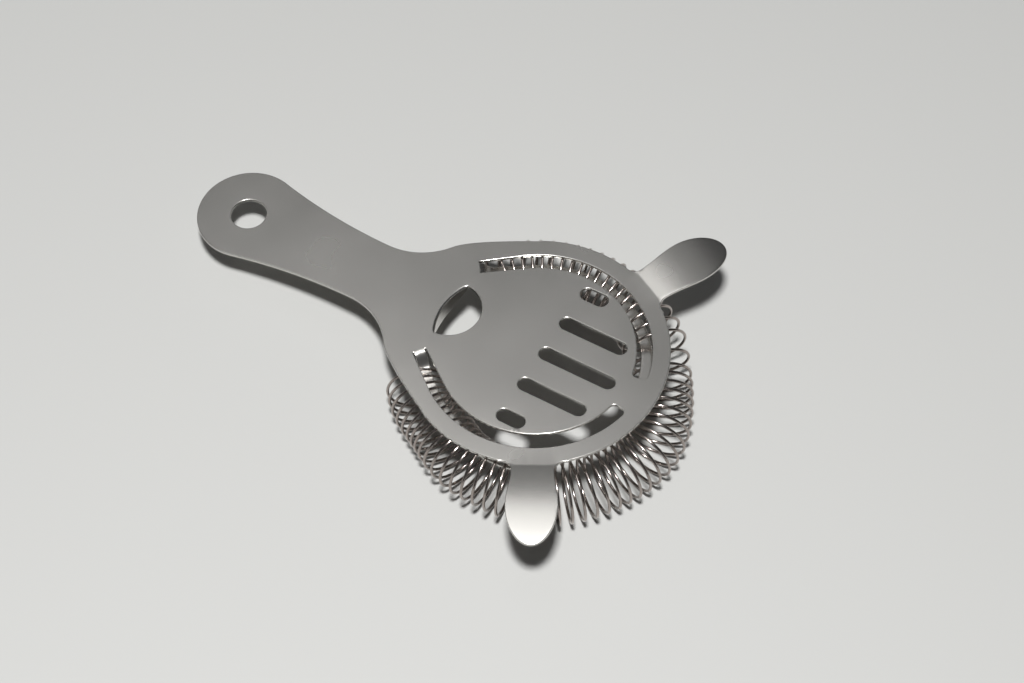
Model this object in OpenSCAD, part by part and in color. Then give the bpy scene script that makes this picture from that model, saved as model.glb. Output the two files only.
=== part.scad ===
// Hawthorne strainer: one stamped steel plate with a coil spring threaded under its rim.
// Units are millimetres. The table is z = 0, the disc centre stands over the origin and
// the handle runs towards -X. The strainer rests on its coil with the front a little up.

/* [Plate] */
// disc radius
disc_r = 37.5; // [37:0.1:38]
// sheet thickness
sheet_t = 1.0; // [0.9:0.05:1.1]
// how far the resting plate is pitched front-up, degrees
pitch = 5.2; // [4.8:0.1:5.6]

/* [Handle] */
// distance from the disc centre to the centre of the rounded handle end
handle_x = 97; // [95:0.5:99]
// radius of the rounded handle end
handle_end_r = 15.1; // [14.6:0.1:15.6]
// hanging hole radius
hang_hole_r = 5.2; // [4.8:0.1:5.6]
// half width of the neck
neck_w = 10.3; // [10:0.1:10.6]

/* [Slots] */
// mid radius of the long curved slots
arc_slot_r = 30.2; // [30:0.1:30.4]
// width of the long curved slots
arc_slot_w = 4.4; // [4.2:0.1:4.6]
// angle where each curved slot starts beside the front
arc_slot_front = 10.5; // [10:0.5:12]
// width of the straight slots
slot_w = 4.3; // [4:0.1:4.6]
// spacing of the straight slots
slot_step = 11.6; // [11.5:0.1:11.7]

/* [Ears] */
// angle of the left ear from the front
ear_left_angle = 63.5; // [62:0.5:64]
// angle of the right ear from the front
ear_right_angle = 61.2; // [60:0.5:62]
// half width of each ear at its widest
ear_w = 7.2; // [7:0.1:7.4]
// distance from the disc centre to the tip of an ear
ear_tip_x = 63.2; // [62:0.2:64]

/* [Spring] */
// radius of the coil, centre of the coil to centre of the wire
coil_r = 9.0; // [8.9:0.05:9.1]
// wire radius
wire_r = 0.42; // [0.36:0.01:0.43]
// number of turns
turns = 61; // [60:1:62]
// half of the angle that the coil covers round the disc
coil_end = 141.5; // [141:0.5:142]

/* [Hidden] */
$fn = 96;

// the plate's rear third lies on the coil, and the front is lifted clear of it
contact_x = -27;
plate_gap = 0.3;
seat_rear = 2 * (coil_r + wire_r) + plate_gap + sheet_t;
seat_z = seat_rear - contact_x * tan(pitch);

// handle outline: concave flanks, then a fillet and a shoulder that runs on to the disc
waist_x = -55.25;
flank_r = (pow(waist_x + handle_x, 2) + pow(neck_w, 2) - pow(handle_end_r, 2))
    / (2 * (handle_end_r - neck_w));
flank_angle = atan2(waist_x + handle_x, neck_w + flank_r);
fillet_r = 20;
fillet_angle = 55;
shoulder_bend = [-35.4, 23.4];
shoulder_to = [-17.9, 32.75];
outline_steps = 16;

// tongue: the strip lanced out of each curved slot, pressed down and fed into the coil
tongue_w = 3.2;
tail_angle = 127;
tail_len = 12.8;
slot_corner = 1.4;
slot_root_w = 1.95;
slot_steps = 72;
tongue_steps = 40;
tongue_root = 1.2;

// pour opening and its turned-down lip
pour_r = 9.1;
pour_x = -28.4;
lip_r = 18.5;
lip_x = -11.8;
lip_drop = 6;
lip_cut_r = 11.15;

// ears: a crease at the rim, then a low arch with its ridge a little further out;
// the left ear reaches a little further out than the right one
ear_arch_r = 70;
ear_ridge_x = 49;
ear_left_out = 0.9;
ear_right_out = -0.9;
ear_crease_x = disc_r + 0.1;
ear_fillet_r = 3;
ear_root_w = 5.9;
ear_wide_x = 51.2;
ear_fillet_y = ear_root_w + ear_fillet_r;
ear_fillet_x = sqrt(pow(disc_r + ear_fillet_r, 2) - pow(ear_fillet_y, 2));
ear_inside = [34, 7];
ear_steps = 24;

// straight slots: where each one starts and ends along the disc
slot_from = 1;
centre_slot_to = 25;
inner_slot_to = 22.3;
outer_slot_from = 1.1;
outer_slot_to = 9.7;

// spring: turn spacing changes at the place where the coil leaves the long tongue
steps_per_turn = 14;
wire_sides = 6;
turn_close = 4.22;
turn_wide = 6.5;
wide_from = 30;
wide_to = 62;
n_wide = (wide_from + coil_end) / turn_close;
n_even = n_wide + (wide_to - wide_from) / turn_wide;
turn_even = (coil_end - wide_to) / (turns - n_even);
coil_phase = -170;

function smooth(a, b, v) = let (w = min(1, max(0, (v - a) / (b - a)))) w * w * (3 - 2 * w);

// angle round the disc after n turns
function turn_angle(n) = -coil_end + turn_close * n
    + (turn_wide - turn_close) * max(0, n - n_wide)
    + (turn_even - turn_wide) * max(0, n - n_even);

// rounded rise of height 1 at angle c, w degrees wide
function bulge(a, c, w) = exp(-pow((a - c) / w, 2));

// distance of the coil's centre line from the disc axis
function ring_r(a) = 35.0 + 2.43 * cos(a) - 1.37 * sin(a) - 1.06 * sin(2 * a) + 0.06 * cos(2 * a)
    + 1.6 * bulge(a, -3, 17) - 1.7 * bulge(a, -112, 15);

// 1 where a tongue holds the coil up against the plate, 0 where it lies on the table
function held(a) = a > 0 ? smooth(32, 40, a) : smooth(60, 84, -a);

function ring_at(a) = let (x = ring_r(a) * cos(a)) [
    x, ring_r(a) * sin(a),
    coil_r + wire_r + held(a) * tan(pitch) * max(0, x - contact_x)];

function flat_unit(v) = let (m = sqrt(v[0] * v[0] + v[1] * v[1])) [v[0] / m, v[1] / m, 0];

function out_dir(a) = let (t = flat_unit(ring_at(a + 0.5) - ring_at(a - 0.5))) [t[1], -t[0], 0];

// centre of the wire after n turns
function wire_at(n) = let (a = turn_angle(n), f = coil_phase - 360 * n)
    ring_at(a) + coil_r * (cos(f) * out_dir(a) + [0, 0, sin(f)]);

function unit(v) = v / norm(v);

// one ring of points round the wire
function wire_ring(n) = let (
    a = turn_angle(n),
    f = coil_phase - 360 * n,
    e = cos(f) * out_dir(a) + [0, 0, sin(f)],
    d = 0.25 / steps_per_turn,
    g = unit(wire_at(n + d) - wire_at(n - d)),
    u = unit(e - (e * g) * g),
    v = cross(g, u))
    [for (k = [0:wire_sides - 1]) wire_at(n)
        + wire_r * (cos(360 * k / wire_sides) * u + sin(360 * k / wire_sides) * v)];

// faces of a closed tube made of m rings of k points each
function tube_faces(m, k) = concat(
    [[for (j = [0:k - 1]) j]],
    [for (i = [0:m - 2], j = [0:k - 1]) let (b = i * k, q = (j + 1) % k)
        [b + j, b + k + j, b + k + q]],
    [for (i = [0:m - 2], j = [0:k - 1]) let (b = i * k, q = (j + 1) % k)
        [b + j, b + k + q, b + q]],
    [[for (j = [k - 1:-1:0]) (m - 1) * k + j]]);

// tongue centre line: side is 1 for the left tongue and -1 for the right one
function tongue_end_angle(side) = side > 0 ? 12.5 : 70;
function tongue_len(side) = tail_len + arc_slot_r * (tail_angle - tongue_end_angle(side)) * PI / 180;
function tongue_angle(s) = tail_angle - max(0, s - tail_len) / arc_slot_r * 180 / PI;

// sideways shift of the tongue towards the rim
function tongue_shift(s, side) = side > 0
    ? 0.6 * smooth(2, 8, s)
    : 0.5 * smooth(2, 8, s) + 3.2 * smooth(tail_angle - 112, tail_angle - 76, tail_angle - tongue_angle(s));

// depth of the tongue's top face under the plate's top face
function tongue_drop(s, side) = let (a = tongue_angle(s)) 0.08 + 3.5 * smooth(0, 4.6, s)
    + (side > 0 ? 1.15 : 1.3) * smooth(4, 12, s)
    + (side > 0
        ? -0.5 * smooth(-37, -31, -a)
        : 0.9 * smooth(-108, -84, -a) + 1.4 * smooth(-84, -66, -a));

function tongue_at(s, side) = let (
    a = tongue_angle(s),
    r = arc_slot_r + tongue_shift(s, side),
    b = max(0, tail_len - s))
    [r * cos(a) - b * sin(a), side * (r * sin(a) + b * cos(a)), -tongue_drop(s, side)];

function tongue_ring(s, side) = let (
    t = flat_unit(tongue_at(s + 0.1, side) - tongue_at(s - 0.1, side)),
    n = [t[1], -t[0], 0] * tongue_w / 2,
    p = tongue_at(s, side),
    thick = sheet_t - 0.16 * (1 - smooth(0.5, 4, s)))
    [p + n, p + n - [0, 0, thick], p - n - [0, 0, thick], p - n];

module tongue(side) {
  s_max = tongue_len(side);
  rings = concat([tongue_ring(-tongue_root, side)],
      [for (i = [0:tongue_steps]) tongue_ring(s_max * i / tongue_steps, side)]);
  polyhedron(
      points = [for (ring = rings, p = ring) p],
      faces = tube_faces(len(rings), 4));
}

// points of one arc, from angle a to angle b
function arc_points(c, r, a, b, n) = [for (i = [0:n]) let (f = a + (b - a) * i / n)
    c + r * [cos(f), sin(f)]];

// left edge of the handle, from the middle of its rounded end to the disc
function handle_edge() = let (
    shoulder_from = [waist_x, neck_w + fillet_r] + fillet_r * [sin(fillet_angle), -cos(fillet_angle)])
    concat(
        arc_points([-handle_x, 0], handle_end_r, 180, 90 - flank_angle, 2 * outline_steps),
        arc_points([waist_x, neck_w + flank_r], flank_r,
            270 - flank_angle * (1 - 1 / outline_steps), 270, outline_steps - 1),
        arc_points([waist_x, neck_w + fillet_r], fillet_r,
            270 + fillet_angle / outline_steps, 270 + fillet_angle, outline_steps - 1),
        [for (i = [1:outline_steps]) let (w = i / outline_steps)
            pow(1 - w, 2) * shoulder_from + 2 * w * (1 - w) * shoulder_bend + pow(w, 2) * shoulder_to]);

module handle() {
  edge = handle_edge();
  translate([0, 0, -sheet_t]) linear_extrude(sheet_t) polygon(concat(
      edge, [for (i = [len(edge) - 1:-1:1]) [edge[i][0], -edge[i][1]]]));
}

// right-hand half of the ear's outline: from inside the disc, round the fillet at the rim,
// out to the widest place, then half an ellipse to the middle of the tip
function ear_edge(out) = let (
    foot = atan2(ear_fillet_y, ear_fillet_x),
    wide_x = ear_wide_x + out,
    long = ear_tip_x - ear_wide_x)
    concat(
        [[ear_inside[0], -ear_inside[1]], 0.995 * disc_r * [cos(foot), -sin(foot)]],
        arc_points([ear_fillet_x, -ear_fillet_y], ear_fillet_r, 174 - foot, 90, 8),
        [for (i = [1:8]) let (x = ear_fillet_x + (wide_x - ear_fillet_x) * i / 8)
            [x, -ear_root_w - (ear_w - ear_root_w) * smooth(ear_fillet_x, wide_x, x)]],
        [for (i = [1:16]) [wide_x + long * sin(90 * i / 16), -ear_w * cos(90 * i / 16)]]);

module ear_plan(out) {
  edge = ear_edge(out);
  translate([0, 0, -5]) linear_extrude(12) polygon(concat(
      edge, [for (i = [len(edge) - 2:-1:0]) [edge[i][0], -edge[i][1]]]));
}

// height of the arched ear at x, with its ridge at ridge_x
function ear_z(x, ridge_x) = sqrt(pow(ear_arch_r, 2) - pow(x - ridge_x, 2))
    - sqrt(pow(ear_arch_r, 2) - pow(ear_crease_x - ridge_x, 2));

// ear cut from its side profile, flat as far as the crease and then arched
module ear(out) {
  end_x = ear_tip_x + out + 1;
  arch = [for (i = [0:ear_steps]) let (x = ear_crease_x + (end_x - ear_crease_x) * i / ear_steps)
      [x, ear_z(x, ear_ridge_x + out)]];
  intersection() {
    ear_plan(out);
    translate([0, 20, 0]) rotate([90, 0, 0]) linear_extrude(40) polygon(concat(
        [[30, 0]], arch, [for (i = [ear_steps:-1:0]) arch[i] - [0, sheet_t]], [[30, -sheet_t]]));
  }
}

// slot with round ends, from one end to the other
module straight_slot(from, to) {
  x0 = from + slot_w / 2;
  x1 = to - slot_w / 2;
  translate([0, 0, -2 * sheet_t]) {
    translate([x0, -slot_w / 2, 0]) cube([x1 - x0, slot_w, 3 * sheet_t]);
    translate([x0, 0, 0]) cylinder(d = slot_w, h = 3 * sheet_t);
    translate([x1, 0, 0]) cylinder(d = slot_w, h = 3 * sheet_t);
  }
}

// outline of a curved slot: rounded corners at its front end and a tail that narrows to the root
function slot_edge(side) = let (
    half = arc_slot_w / 2,
    inner = arc_slot_r - half,
    outer = arc_slot_r + half,
    front = arc_slot_front + asin(slot_corner / arc_slot_r),
    tail = [for (p = [[slot_root_w, tail_len], [-slot_root_w, tail_len]]) let (r = arc_slot_r + p[0])
        [r * cos(tail_angle) - p[1] * sin(tail_angle), r * sin(tail_angle) + p[1] * cos(tail_angle)]],
    points = concat(
        arc_points([0, 0], inner, tail_angle, front + 0.5, slot_steps),
        arc_points((inner + slot_corner) * [cos(front), sin(front)], slot_corner,
            front + 180, front + 270, 6),
        arc_points((outer - slot_corner) * [cos(front), sin(front)], slot_corner,
            front + 270, front + 360, 6),
        arc_points([0, 0], outer, front + 0.5, tail_angle, slot_steps),
        tail))
    [for (p = points) [p[0], side * p[1]]];

module arc_slot(side) {
  translate([0, 0, -2 * sheet_t]) linear_extrude(3 * sheet_t) polygon(slot_edge(side));
}

module pour_hole() {
  translate([0, 0, -2 * sheet_t]) intersection() {
    translate([pour_x, 0, 0]) cylinder(r = pour_r, h = 3 * sheet_t);
    translate([lip_x, 0, 0]) cylinder(r = lip_r, h = 3 * sheet_t);
  }
}

module pour_lip() {
  intersection() {
    translate([lip_x, 0, -lip_drop - 1]) difference() {
      cylinder(r = lip_r + sheet_t, h = lip_drop + 1 - sheet_t / 2);
      translate([0, 0, -1]) cylinder(r = lip_r, h = lip_drop + 3);
    }
    translate([pour_x - 20, 0, lip_cut_r - lip_drop]) rotate([0, 90, 0])
      cylinder(r = lip_cut_r, h = 20);
  }
}

module flat_plate() {
  difference() {
    union() {
      translate([0, 0, -sheet_t]) cylinder(r = disc_r, h = sheet_t, $fn = 360);
      handle();
      rotate([0, 0, ear_left_angle]) ear(ear_left_out);
      rotate([0, 0, -ear_right_angle]) ear(ear_right_out);
    }
    translate([-handle_x, 0, -2 * sheet_t]) cylinder(r = hang_hole_r, h = 3 * sheet_t);
    straight_slot(slot_from, centre_slot_to);
    for (side = [-1, 1]) {
      translate([0, side * slot_step, 0]) straight_slot(slot_from, inner_slot_to);
      translate([0, side * 2 * slot_step, 0]) straight_slot(outer_slot_from, outer_slot_to);
    }
    arc_slot(1);
    arc_slot(-1);
    pour_hole();
  }
  pour_lip();
  tongue(1);
  tongue(-1);
}

module plate() {
  color([0.72, 0.72, 0.7]) translate([0, 0, seat_z]) rotate([0, -pitch, 0]) flat_plate();
}

module coil_spring() {
  rings = turns * steps_per_turn;
  color([0.5, 0.5, 0.5]) polyhedron(
      points = [for (i = [0:rings], p = wire_ring(i / steps_per_turn)) p],
      faces = tube_faces(rings + 1, wire_sides));
}

plate();
coil_spring();
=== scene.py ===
import math

import bmesh
import bpy
import numpy as np
from mathutils import Matrix, Vector
from mathutils.geometry import delaunay_2d_cdt


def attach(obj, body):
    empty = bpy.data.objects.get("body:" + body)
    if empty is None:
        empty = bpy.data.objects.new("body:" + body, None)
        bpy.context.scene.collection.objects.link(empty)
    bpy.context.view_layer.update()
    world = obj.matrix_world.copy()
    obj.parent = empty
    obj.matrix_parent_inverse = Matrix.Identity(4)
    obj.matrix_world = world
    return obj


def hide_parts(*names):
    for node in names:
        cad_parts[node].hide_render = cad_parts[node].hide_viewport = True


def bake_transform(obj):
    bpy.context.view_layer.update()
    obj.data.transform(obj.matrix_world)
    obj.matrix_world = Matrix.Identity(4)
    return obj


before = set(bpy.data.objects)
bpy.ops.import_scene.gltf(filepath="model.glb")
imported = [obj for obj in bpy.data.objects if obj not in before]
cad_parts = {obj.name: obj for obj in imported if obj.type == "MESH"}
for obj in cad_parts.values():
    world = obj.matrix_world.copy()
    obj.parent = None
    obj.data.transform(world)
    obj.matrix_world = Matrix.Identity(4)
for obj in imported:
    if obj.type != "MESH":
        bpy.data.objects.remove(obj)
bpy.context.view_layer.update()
MM = 0.001
scene = bpy.context.scene

# ---- sizes in millimetres, angles in degrees, in the plate's own plane: the disc centre is the
# ---- origin, the top face is z = 0, the front is +X and the left is +Y
DISC_R = 37.5
SHEET = 1.0
ROLL_R = 0.2                    # rounding of the punched edges

# handle: a rounded end, concave flanks, a fillet and a shoulder on to the disc
HANDLE_X, HANDLE_R = 97.0, 15.1
HANG_HOLE_R = 5.2
WAIST_X, NECK_W = -55.25, 10.3
FILLET_R, FILLET_A = 20.0, 55.0
SHOULDER_BEND = np.array([-35.4, 23.4])
SHOULDER_TO = np.array([-17.9, 32.75])

# ears: sign 1 is the left one and -1 the right one
EAR_A = {1: 63.5, -1: -61.2}    # angle from the front
EAR_OUT = {1: 0.9, -1: -0.9}    # the left ear reaches a little further out
EAR_ROOT_W, EAR_W = 5.9, 7.2    # half width at the root and at the widest
EAR_FILLET_R = 3.0
EAR_WIDE_X, EAR_TIP_X = 51.2, 63.2
CREASE_X = DISC_R + 0.1
RIDGE_X, EAR_ARCH_R = 49.0, 70.0

# straight slots: start, end and place across the disc, for the left side and the middle
SLOT_W = 4.3
CENTRE_SLOT = (1.0, 25.0)
INNER_SLOT = (1.0, 22.3, 11.6)
OUTER_SLOT = (1.1, 9.7, 23.2)

# curved slots, and the tongue lanced out of each one: a straight tail, then the arc
ARC_R, ARC_W = 30.2, 4.4
ARC_FRONT, ARC_CORNER = 10.5, 1.4
TAIL_A, TAIL_L = 127.0, 12.8
TAIL_NARROW = 0.25
TONGUE_W = 3.2
TONGUE_END = {1: 12.5, -1: 70.0}
TONGUE_CORNER = ((0.35, 0.03), (0.1, 0.14), (0.0, 0.4))     # back from the end, in from the side
ROOT_DROP, ROOT_RUN = 3.58, 4.6     # the steep ramp at a tongue's root
NEXT_DROP = {1: 1.15, -1: 1.3}      # the gentle one that follows it
NEXT_FROM, NEXT_TO = 4.0, 12.0

# pour opening: two arcs that meet in a corner, and the lip turned down along the handle side
POUR_R, POUR_X = 9.1, -28.4
LIP_R, LIP_X = 18.5, -11.8
LIP_DROP, LIP_CUT_R = 6.0, 11.15
LIP_ROLL = 0.75                 # rounding where the lip turns down
LIP_FULL = 1.2                  # depth at which the lip's rounding is full
CORNER_X = (LIP_R ** 2 - POUR_R ** 2 - LIP_X ** 2 + POUR_X ** 2) / (2 * (POUR_X - LIP_X))
CORNER_Y = math.sqrt(POUR_R ** 2 - (CORNER_X - POUR_X) ** 2)

# spring, and how the plate rests on it
COIL_R = 9.0
WIRE_R = 0.42
TURNS = 61
COIL_END = 141.5                # half of the angle that the coil covers
COIL_PHASE = -170.0
RING_R = 35.0                   # mean radius of the coil's centre line
LEFT_HELD, RIGHT_HELD = (32, 40), (60, 84)      # where the tongues begin to hold the coil up
TURN_CLOSE, TURN_WIDE = 4.22, 6.5
WIDE_FROM, WIDE_TO = 30.0, 62.0
PITCH = math.radians(5.2)       # front-up pitch of the plate
CONTACT_X = -27.0               # the plate lies on the coil here
PLATE_GAP = 0.3
SEAT = 2 * (COIL_R + WIRE_R) + PLATE_GAP + SHEET - CONTACT_X * math.tan(PITCH)


def smooth(a, b, v):
    """0 below a, 1 above b, an S-curve between."""
    w = np.clip((np.asarray(v, float) - a) / (b - a), 0, 1)
    return w * w * (3 - 2 * w)


def arc(cx, cy, r, a, b, n):
    """n + 1 points of an arc, from angle a to angle b."""
    t = np.radians(np.linspace(a, b, n + 1))
    return np.c_[cx + r * np.cos(t), cy + r * np.sin(t)]


def angle_of(q):
    return math.degrees(math.atan2(q[1], q[0]))


def to_table(p):
    """Plate coordinates to the shared frame, in metres."""
    c, s = math.cos(PITCH), math.sin(PITCH)
    return np.c_[p[:, 0] * c - p[:, 2] * s, p[:, 1], p[:, 0] * s + p[:, 2] * c + SEAT] * MM


# ---- outlines of the flat sheet
def handle_edge():
    """Left edge of the handle, from the middle of its rounded end to the disc."""
    run = WAIST_X + HANDLE_X
    flank_r = (run ** 2 + NECK_W ** 2 - HANDLE_R ** 2) / (2 * (HANDLE_R - NECK_W))
    flank_a = math.degrees(math.atan2(run, NECK_W + flank_r))
    fillet = arc(WAIST_X, NECK_W + FILLET_R, FILLET_R, 270, 270 + FILLET_A, 26)
    w = np.linspace(0, 1, 25)[1:, None]
    return np.vstack([
        arc(-HANDLE_X, 0, HANDLE_R, 180, 90 - flank_a, 60),
        arc(WAIST_X, NECK_W + flank_r, flank_r, 270 - flank_a, 270, 40)[1:],
        fillet[1:],
        (1 - w) ** 2 * fillet[-1] + 2 * w * (1 - w) * SHOULDER_BEND + w ** 2 * SHOULDER_TO])


def ear_edge(sign):
    """Outline of one ear, anticlockwise, from its root on the rim to its root on the rim."""
    fy = EAR_ROOT_W + EAR_FILLET_R
    fx = math.sqrt((DISC_R + EAR_FILLET_R) ** 2 - fy ** 2)
    foot = math.degrees(math.atan2(-fy, -fx))
    wide = EAR_WIDE_X + EAR_OUT[sign]
    x = np.linspace(fx, wide, 13)[1:]
    t = np.radians(np.linspace(0, 90, 31))[1:]
    half = np.vstack([
        arc(fx, -fy, EAR_FILLET_R, foot + 360, 90, 10),
        np.c_[x, -EAR_ROOT_W - (EAR_W - EAR_ROOT_W) * smooth(fx, wide, x)],
        np.c_[wide + (EAR_TIP_X - EAR_WIDE_X) * np.sin(t), -EAR_W * np.cos(t)]])
    a = math.radians(EAR_A[sign])
    turn = np.array([[math.cos(a), math.sin(a)], [-math.sin(a), math.cos(a)]])
    return np.vstack([half, (half[:-1] * [1, -1])[::-1]]) @ turn


def rim(a, b):
    """Points of the disc's rim strictly between angles a and b."""
    return arc(0, 0, DISC_R, a, b, max(2, int(abs(b - a) / 1.2)))[1:-1]


def outer_loop():
    """Outline of the whole sheet, from the rounded end of the handle round the front and back."""
    edge = handle_edge()
    right, left = ear_edge(-1), ear_edge(1)
    join = angle_of(edge[-1]) - 0.4
    return np.vstack([
        edge * [1, -1],
        rim(-join, angle_of(right[0])), right,
        rim(angle_of(right[-1]), angle_of(left[0])), left,
        rim(angle_of(left[-1]), join),
        edge[::-1][:-1]])


def hang_hole_loop():
    return arc(-HANDLE_X, 0, HANG_HOLE_R, 0, 360, 72)[:-1]


def straight_loop(x0, x1, y=0.0):
    h = SLOT_W / 2
    return np.vstack([arc(x1 - h, y, h, -90, 90, 18), arc(x0 + h, y, h, 90, 270, 18)])


def tongue_len(side):
    return TAIL_L + ARC_R * math.radians(TAIL_A - TONGUE_END[side])


def path(s, side, off=0.0):
    """Points of the flat tongue at distance s from its root, off to the rim side."""
    s = np.asarray(s, float)
    a = np.radians(TAIL_A) - np.maximum(0, s - TAIL_L) / ARC_R
    b = np.maximum(0, TAIL_L - s)
    r = ARC_R + off
    return np.c_[r * np.cos(a) - b * np.sin(a), side * (r * np.sin(a) + b * np.cos(a))]


def slot_loop(side):
    """Curved slot with its tongue left standing in it, as one hole."""
    half = ARC_W / 2
    front = ARC_FRONT + math.degrees(ARC_CORNER / ARC_R)
    f = math.radians(front)
    s_tail = np.linspace(0, TAIL_L, 14)[:-1]
    flare = half - TAIL_NARROW * (1 - s_tail / TAIL_L)
    inner = np.vstack([path(s_tail, 1, -flare), arc(0, 0, ARC_R - half, TAIL_A, front + 0.6, 90)])
    outer = np.vstack([path(s_tail, 1, flare), arc(0, 0, ARC_R + half, TAIL_A, front + 0.6, 90)])
    cap = []
    for r, a in ((ARC_R - half + ARC_CORNER, front + 180), (ARC_R + half - ARC_CORNER, front + 270)):
        cap.append(arc(r * math.cos(f), r * math.sin(f), ARC_CORNER, a, a + 90, 8))
    length, h = tongue_len(side), TONGUE_W / 2
    s = np.linspace(0, length - 0.5, int(length / 0.6))
    across = path([length], 1, 1) - path([length], 1)
    corner = [(length - back, inset - h) for back, inset in TONGUE_CORNER]
    corner += [(a, -b) for a, b in corner[::-1]]
    end = np.vstack([path([a], 1) + b * across for a, b in corner])
    p = np.vstack([inner, *cap, outer[::-1], path(s, 1, h), end[::-1], path(s, 1, -h)[::-1]])
    return p * [1, side]


def pour_loop():
    """Pour opening, lip side first: its points and the depth of the lip at each."""
    a = math.degrees(math.atan2(CORNER_Y, CORNER_X - LIP_X))
    b = math.degrees(math.atan2(CORNER_Y, CORNER_X - POUR_X))
    lip = arc(LIP_X, 0, LIP_R, a, 360 - a, 48)
    front = arc(POUR_X, 0, POUR_R, -b, b, 40)[1:-1]
    reach = np.sqrt(np.maximum(0, LIP_CUT_R ** 2 - lip[:, 1] ** 2)) - (LIP_CUT_R - LIP_DROP)
    depth = np.maximum(0, reach - SHEET)
    return np.vstack([lip, front]), np.r_[depth, np.zeros(len(front))]


# ---- work on loops
def drop_repeats(p, depth, tol=0.02):
    """Drops points that nearly repeat the one before them."""
    keep = [0]
    for i in range(1, len(p)):
        if np.linalg.norm(p[i] - p[keep[-1]]) > tol:
            keep.append(i)
    if np.linalg.norm(p[keep[-1]] - p[0]) <= tol:
        keep.pop()
    return p[keep], depth[keep]


def dense(p, step=1.6):
    """Adds points so that no side of a closed loop is longer than step."""
    out = []
    for a, b in zip(p, np.roll(p, -1, 0)):
        n = max(1, int(math.ceil(np.linalg.norm(b - a) / step)))
        out += [a + (b - a) * i / n for i in range(n)]
    return np.array(out)


def orient(p, depth, anticlockwise):
    """Turns a loop round if it runs the other way."""
    x, y = p[:, 0], p[:, 1]
    area = np.sum(x * np.roll(y, -1) - np.roll(x, -1) * y)
    if (area > 0) != anticlockwise:
        return p[::-1], depth[::-1]
    return p, depth


def loop_normals(p):
    """Unit normals pointing out of the material, which is on the loop's left."""
    d = np.roll(p, -1, 0) - p
    d /= np.linalg.norm(d, axis=1)[:, None]
    n = np.c_[d[:, 1], -d[:, 0]]
    m = n + np.roll(n, 1, 0)
    k = np.linalg.norm(m, axis=1)[:, None]
    m /= np.maximum(k, 0.5)
    unit = m / np.maximum(np.linalg.norm(m, axis=1), 1e-9)[:, None]
    return unit * np.minimum(2 / np.maximum(k, 1e-9), 1.4)


def inside(pts, loop):
    """Which points lie inside a closed loop."""
    x, y = pts[:, 0], pts[:, 1]
    odd = np.zeros(len(pts), bool)
    for (ax, ay), (bx, by) in zip(loop, np.roll(loop, -1, 0)):
        if ay != by:
            odd ^= ((ay > y) != (by > y)) & (x < (bx - ax) * (y - ay) / (by - ay) + ax)
    return odd


# ---- what bends the flat sheet
def ear_lift(u, sign):
    """Height of an ear at distance u from the disc centre: a low arch beyond the crease."""
    top = RIDGE_X + EAR_OUT[sign]
    level = math.sqrt(EAR_ARCH_R ** 2 - (CREASE_X - top) ** 2)
    return np.sqrt(EAR_ARCH_R ** 2 - (u - top) ** 2) - level


def tongue_angle(s):
    return TAIL_A - np.degrees(np.maximum(0, s - TAIL_L) / ARC_R)


def tongue_shift(s, side):
    """How far a tongue moves towards the rim, so that it runs inside the coil."""
    if side > 0:
        return 0.6 * smooth(2, 8, s)
    return 0.5 * smooth(2, 8, s) + 3.2 * smooth(15, 51, TAIL_A - tongue_angle(s))


def tongue_drop(s, side):
    """How far a tongue is pressed down: two ramps at its root, then it follows the coil."""
    a = tongue_angle(s)
    z = ROOT_DROP * smooth(0, ROOT_RUN, s) + NEXT_DROP[side] * smooth(NEXT_FROM, NEXT_TO, s)
    if side > 0:
        return z - 0.5 * smooth(-37, -31, -a)
    return z + 0.9 * smooth(-108, -84, -a) + 1.4 * smooth(-84, -66, -a)


def bend_ear(v, sign):
    """Lifts the points of one ear, in place."""
    a = math.radians(EAR_A[sign])
    u = v[:, 0] * math.cos(a) + v[:, 1] * math.sin(a)
    w = -v[:, 0] * math.sin(a) + v[:, 1] * math.cos(a)
    on_ear = (np.abs(w) < 2 * EAR_W) & (u > CREASE_X)
    v[on_ear, 2] += ear_lift(u[on_ear], sign)


def bend_tongue(v, side):
    """Presses the points of one tongue down and moves them towards the rim, in place."""
    x, y = v[:, 0], v[:, 1] * side
    t = math.radians(TAIL_A)
    bx, by = x - ARC_R * math.cos(t), y - ARC_R * math.sin(t)
    along = -bx * math.sin(t) + by * math.cos(t)
    across = bx * math.cos(t) + by * math.sin(t)
    a = np.degrees(np.arctan2(y, x))
    on_tail = along > 0
    s = TAIL_L + np.where(on_tail, -along, ARC_R * np.radians(TAIL_A - a))
    off = np.where(on_tail, across, np.hypot(x, y) - ARC_R)
    on = (np.abs(off) < TONGUE_W / 2 + 0.06) & (s > 0) & (s < tongue_len(side) + 0.3) & (y > 0)
    on &= on_tail | ((a <= TAIL_A) & (a > 0))
    s = s[on]
    v[on, :2] = path(s, side, off[on] + tongue_shift(s, side))
    v[on, 2] -= tongue_drop(s, side)


def bend_points():
    """Points inside the ears and along the tongues, a millimetre or less apart, for bending these."""
    points = []
    for sign in (-1, 1):
        a = math.radians(EAR_A[sign])
        for u in np.arange(CREASE_X, EAR_TIP_X + 0.4, 0.8):
            for w in np.arange(-7.0, EAR_W, 1.0):
                points.append((u * math.cos(a) - w * math.sin(a), u * math.sin(a) + w * math.cos(a)))
        for s in np.arange(0.0, tongue_len(sign) - 0.4, 0.6):
            points += [tuple(path([s], sign, off)[0]) for off in (-0.7, 0, 0.7)]
    return np.array(points)


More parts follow.
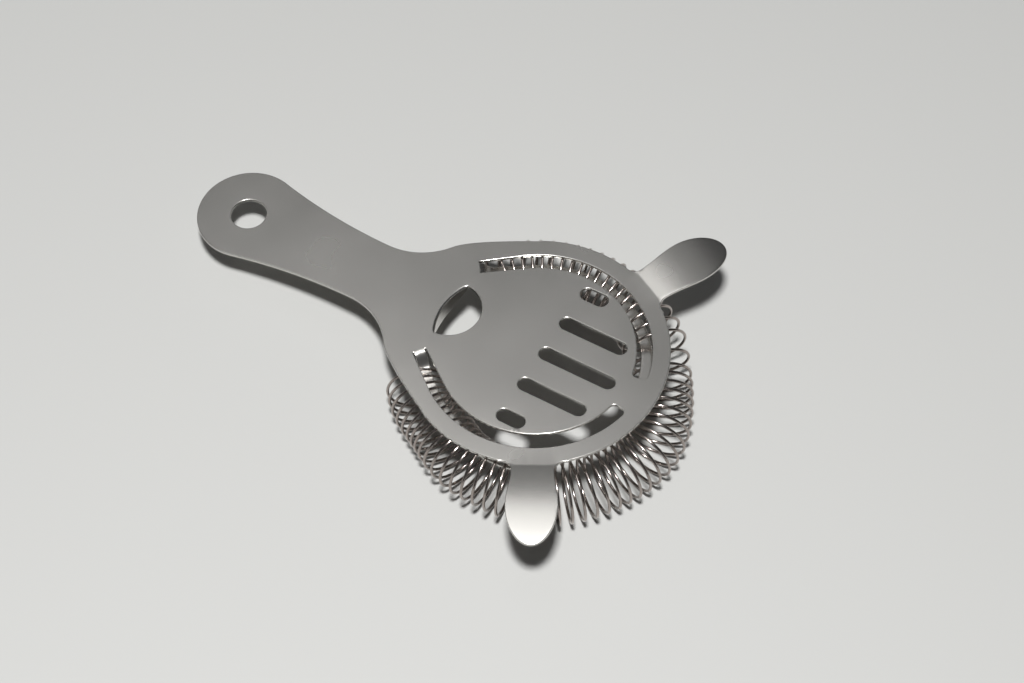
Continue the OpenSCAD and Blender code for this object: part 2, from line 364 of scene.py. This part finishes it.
# ---- plate
def edge_rings(p, depth):
    """Rings round a loop that take the sheet from its top face, over the edge, to its underside."""
    n = loop_normals(p)
    lip = smooth(0, LIP_FULL, depth)
    top_r = ROLL_R + (LIP_ROLL - ROLL_R) * lip
    back = np.maximum(ROLL_R + (SHEET - ROLL_R) * lip, ROLL_R + 0.001)
    low = -SHEET - depth

    def ring(inset, z):
        return np.c_[p - n * np.reshape(inset, (-1, 1)), np.broadcast_to(z, len(p))]

    rings = [ring(top_r * (1 - math.sin(t)), -top_r * (1 - math.cos(t)))
             for t in np.radians([0, 18, 36, 54, 72, 90])]
    rings += [ring(ROLL_R * (1 - math.cos(t)), low + ROLL_R * (1 - math.sin(t)))
              for t in np.radians([0, 30, 60, 90])]
    return rings + [ring(back, low + 0.1 * lip), ring(back + 0.02, -SHEET)]


def cover(loops, free, free_ids, up):
    """Faces of one side of the sheet. loops holds the first vertex number and points of each loop."""
    pts, edges, ids = [], [], []
    for base, loop in loops:
        o = len(pts)
        pts += [Vector(q) for q in loop]
        ids += range(base, base + len(loop))
        edges += [(o + j, o + (j + 1) % len(loop)) for j in range(len(loop))]
    pts += [Vector(q) for q in free]
    ids += free_ids
    found, _, triangles, origin, _, _ = delaunay_2d_cdt(pts, edges, [], 0, 1e-7)
    found = np.array([q[:] for q in found])
    middle = np.array([found[list(t)].mean(0) for t in triangles])
    wanted = inside(middle, loops[0][1])
    for _, loop in loops[1:]:
        wanted &= ~inside(middle, loop)
    faces = []
    for t, ok in zip(triangles, wanted):
        if not ok or any(not origin[i] for i in t):
            continue
        a, b, c = found[list(t)]
        area = (b[0] - a[0]) * (c[1] - a[1]) - (c[0] - a[0]) * (b[1] - a[1])
        face = [ids[origin[i][0]] for i in t]
        faces.append(face if (area > 0) == up else face[::-1])
    return faces


def build_plate():
    """The stamped sheet: rolled edges round every outline, a face on each side, then the bends."""
    pour, lip_depth = pour_loop()
    holes = [hang_hole_loop(), straight_loop(*CENTRE_SLOT)]
    for side in (-1, 1):
        for x0, x1, y in (INNER_SLOT, OUTER_SLOT):
            holes.append(straight_loop(x0, x1, side * y))
        holes.append(slot_loop(side))
    edges = [(outer_loop(), None, True)] + [(hole, None, False) for hole in holes]
    edges.append((pour, lip_depth, False))
    verts, faces, tops, bottoms = [], [], [], []
    count = 0
    for p, depth, anticlockwise in edges:
        flat = depth is None
        p, depth = drop_repeats(p, np.zeros(len(p)) if flat else depth)
        if flat:
            p = dense(p)
            depth = np.zeros(len(p))
        p, depth = orient(p, depth, anticlockwise)
        rings = edge_rings(p, depth)
        m = len(p)
        verts += rings
        for low in range(count, count + m * (len(rings) - 1), m):
            for j in range(m):
                k = (j + 1) % m
                faces.append((low + j, low + m + j, low + m + k, low + k))
        tops.append((count, rings[0][:, :2]))
        count += m * len(rings)
        bottoms.append((count - m, rings[-1][:, :2]))
    grid = bend_points()
    for loops, z in ((tops, 0.0), (bottoms, -SHEET)):
        ok = inside(grid, loops[0][1])
        for _, loop in loops[1:]:
            ok &= ~inside(grid, loop)
        every = np.vstack([loop for _, loop in loops])
        free = np.array([q for q in grid[ok] if np.min(np.hypot(*(every - q).T)) > 0.3])
        verts.append(np.c_[free, np.full(len(free), z)])
        faces += cover(loops, free, list(range(count, count + len(free))), z == 0)
        count += len(free)
    v = np.vstack(verts)
    for side in (-1, 1):
        bend_ear(v, side)
    for side in (-1, 1):
        bend_tongue(v, side)
    return make_mesh("plate_sheet", to_table(v), faces)


def make_mesh(name, v, faces):
    me = bpy.data.meshes.new(name)
    me.from_pydata([tuple(q) for q in v], [], [tuple(int(i) for i in f) for f in faces])
    bm = bmesh.new()
    bm.from_mesh(me)
    bmesh.ops.remove_doubles(bm, verts=bm.verts, dist=2e-7)
    loose = [q for q in bm.verts if not q.link_faces]
    bmesh.ops.delete(bm, geom=loose, context="VERTS")
    bmesh.ops.recalc_face_normals(bm, faces=bm.faces)
    bm.to_mesh(me)
    bm.free()
    me.polygons.foreach_set("use_smooth", [True] * len(me.polygons))
    ob = bpy.data.objects.new(name, me)
    scene.collection.objects.link(ob)
    return ob


# ---- spring
def turn_angle(n):
    """Angle round the disc after n turns: close turns, a few wide ones, then even ones."""
    n0 = (WIDE_FROM + COIL_END) / TURN_CLOSE
    n1 = n0 + (WIDE_TO - WIDE_FROM) / TURN_WIDE
    even = (COIL_END - WIDE_TO) / (TURNS - n1)
    wide = (TURN_WIDE - TURN_CLOSE) * np.maximum(0, n - n0)
    return -COIL_END + TURN_CLOSE * n + wide + (even - TURN_WIDE) * np.maximum(0, n - n1)


def bulge(deg, centre, width):
    return np.exp(-((deg - centre) / width) ** 2)


def ring_at(deg):
    """Centre line of the coil. The tongues hold parts of it up against the plate."""
    a = np.radians(deg)
    r = RING_R + 2.43 * np.cos(a) - 1.37 * np.sin(a) - 1.06 * np.sin(2 * a) + 0.06 * np.cos(2 * a)
    r = r + 1.6 * bulge(deg, -3, 17) - 1.7 * bulge(deg, -112, 15)
    x = r * np.cos(a)
    held = np.where(deg > 0, smooth(*LEFT_HELD, deg), smooth(*RIGHT_HELD, -deg))
    rise = held * math.tan(PITCH) * np.maximum(0, x - CONTACT_X)
    return np.c_[x, r * np.sin(a), COIL_R + WIRE_R + rise]


def wire_at(n):
    """Centre of the wire after n turns."""
    a = turn_angle(n)
    t = ring_at(a + 0.5) - ring_at(a - 0.5)
    t /= np.hypot(t[:, 0], t[:, 1])[:, None]
    f = np.radians(COIL_PHASE - 360.0 * n)
    return ring_at(a) + COIL_R * np.c_[np.cos(f) * t[:, 1], -np.cos(f) * t[:, 0], np.sin(f)]


def build_spring(steps=40, sides=12):
    """The wire: a tube of steps rings a turn, with sides points in each ring."""
    n = np.linspace(0, TURNS, TURNS * steps + 1)
    p = wire_at(n)
    g = wire_at(n + 0.01) - wire_at(n - 0.01)
    g /= np.linalg.norm(g, axis=1)[:, None]
    u = p - ring_at(turn_angle(n))
    u -= g * np.sum(u * g, 1)[:, None]
    u /= np.linalg.norm(u, axis=1)[:, None]
    w = np.cross(g, u)
    r = np.full(len(n), WIRE_R)
    r[[0, -1]] *= 0.7           # the cut ends are slightly rounded
    t = np.linspace(0, 2 * math.pi, sides, endpoint=False)[None, :, None]
    v = p[:, None] + r[:, None, None] * (np.cos(t) * u[:, None] + np.sin(t) * w[:, None])
    last = TURNS * steps * sides
    faces = []
    for low in range(0, last, sides):
        for j in range(sides):
            k = (j + 1) % sides
            faces.append((low + j, low + k, low + sides + k, low + sides + j))
    faces += [tuple(range(sides))[::-1], tuple(range(last, last + sides))]
    return make_mesh("spring_wire", v.reshape(-1, 3) * MM, faces)


# ---- materials
def nodes_of(mat):
    mat.use_nodes = True
    return mat.node_tree, mat.node_tree.nodes["Principled BSDF"]


def steel(name, base, rough):
    """Bare steel whose tone and polish vary a little from place to place."""
    mat = bpy.data.materials.new(name)
    tree, shader = nodes_of(mat)
    shader.inputs["Metallic"].default_value = 1.0
    place = tree.nodes.new("ShaderNodeTexCoord")
    patches = tree.nodes.new("ShaderNodeTexNoise")
    patches.inputs["Scale"].default_value = 38
    patches.inputs["Detail"].default_value = 2
    tree.links.new(place.outputs["Object"], patches.inputs["Vector"])
    tone = tree.nodes.new("ShaderNodeMix")
    tone.data_type = "RGBA"
    tone.inputs["A"].default_value = (*[c * 0.9 for c in base], 1)
    tone.inputs["B"].default_value = (*[c * 1.04 for c in base], 1)
    tree.links.new(patches.outputs["Fac"], tone.inputs["Factor"])
    tree.links.new(tone.outputs["Result"], shader.inputs["Base Color"])
    polish = tree.nodes.new("ShaderNodeMapRange")
    polish.inputs["To Min"].default_value = rough * 0.85
    polish.inputs["To Max"].default_value = rough * 1.2
    tree.links.new(patches.outputs["Fac"], polish.inputs["Value"])
    tree.links.new(polish.outputs["Result"], shader.inputs["Roughness"])
    return mat


plate = build_plate()
plate.data.materials.append(steel("satin_sheet", (0.62, 0.605, 0.575), 0.25))
weight = plate.modifiers.new("flat_faces", "WEIGHTED_NORMAL")
weight.mode = "FACE_AREA"
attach(plate, "plate")
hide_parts("plate")

spring = build_spring()
spring.data.materials.append(steel("polished_wire", (0.40, 0.355, 0.33), 0.19))
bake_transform(spring)
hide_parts("coil_spring")


# ---- stage
def add_floor(half):
    mesh = bpy.data.meshes.new("floor")
    corners = [(-half, -half, 0), (half, -half, 0), (half, half, 0), (-half, half, 0)]
    mesh.from_pydata(corners, [], [(0, 1, 2, 3)])
    floor = bpy.data.objects.new("floor", mesh)
    scene.collection.objects.link(floor)
    mat = bpy.data.materials.new("pale_floor")
    _, shader = nodes_of(mat)
    shader.inputs["Base Color"].default_value = (0.52, 0.52, 0.505, 1)
    shader.inputs["Roughness"].default_value = 0.6
    mesh.materials.append(mat)


def direction(az, el):
    """Unit vector towards azimuth az and elevation el, in degrees. Azimuth 0 is on the -Y side."""
    a, e = math.radians(az), math.radians(el)
    return Vector((math.sin(a) * math.cos(e), -math.cos(a) * math.cos(e), math.sin(e)))


def lamp(name, az, el, dist, size, watts, size_y=None):
    """Area light turned towards the object. size_y makes it a rectangle."""
    light = bpy.data.lights.new(name, "AREA")
    light.size = size
    if size_y:
        light.shape = "RECTANGLE"
        light.size_y = size_y
    light.energy = watts
    ob = bpy.data.objects.new(name, light)
    d = direction(az, el)
    ob.location = Vector((0, 0, 0.01)) + d * dist
    ob.rotation_euler = (-d).to_track_quat("-Z", "Y").to_euler()
    scene.collection.objects.link(ob)
    return ob


add_floor(3)
world = bpy.data.worlds.new("studio")
world.use_nodes = True
world.node_tree.nodes["Background"].inputs["Color"].default_value = (0.9, 0.92, 0.95, 1)
world.node_tree.nodes["Background"].inputs["Strength"].default_value = 0.06
scene.world = world

lamp("key", 17, 74.5, 1.2, 0.12, 18)
panel = lamp("panel", 264, 77, 1.6, 1.15, 5.6)
back_wall = lamp("back_wall", 226, 51, 1.8, 1.25, 0.62, size_y=0.85)
for mirrored in (panel, back_wall):      # these are there to be mirrored in the steel
    mirrored.visible_diffuse = False

# ---- camera, from the object's side
CAM_AZ, CAM_EL, CAM_ROLL, CAM_DIST = 26.71, 58.54, math.radians(4.59), 728.1
CAM_TARGET = Vector((-7.3, -1.0, 21.6))
cam_data = bpy.data.cameras.new("camera")
cam_data.lens = 91.4
cam_data.sensor_width = 36
camera = bpy.data.objects.new("camera", cam_data)
scene.collection.objects.link(camera)
back = direction(CAM_AZ, CAM_EL)
level = Vector((math.cos(math.radians(CAM_AZ)), math.sin(math.radians(CAM_AZ)), 0))
right = level * math.cos(CAM_ROLL) + back.cross(level) * math.sin(CAM_ROLL)
turn = Matrix((right, back.cross(right), back)).transposed()
camera.matrix_world = Matrix.Translation((CAM_TARGET + back * CAM_DIST) * MM) @ turn.to_4x4()
scene.camera = camera
scene.view_settings.view_transform = "Standard"
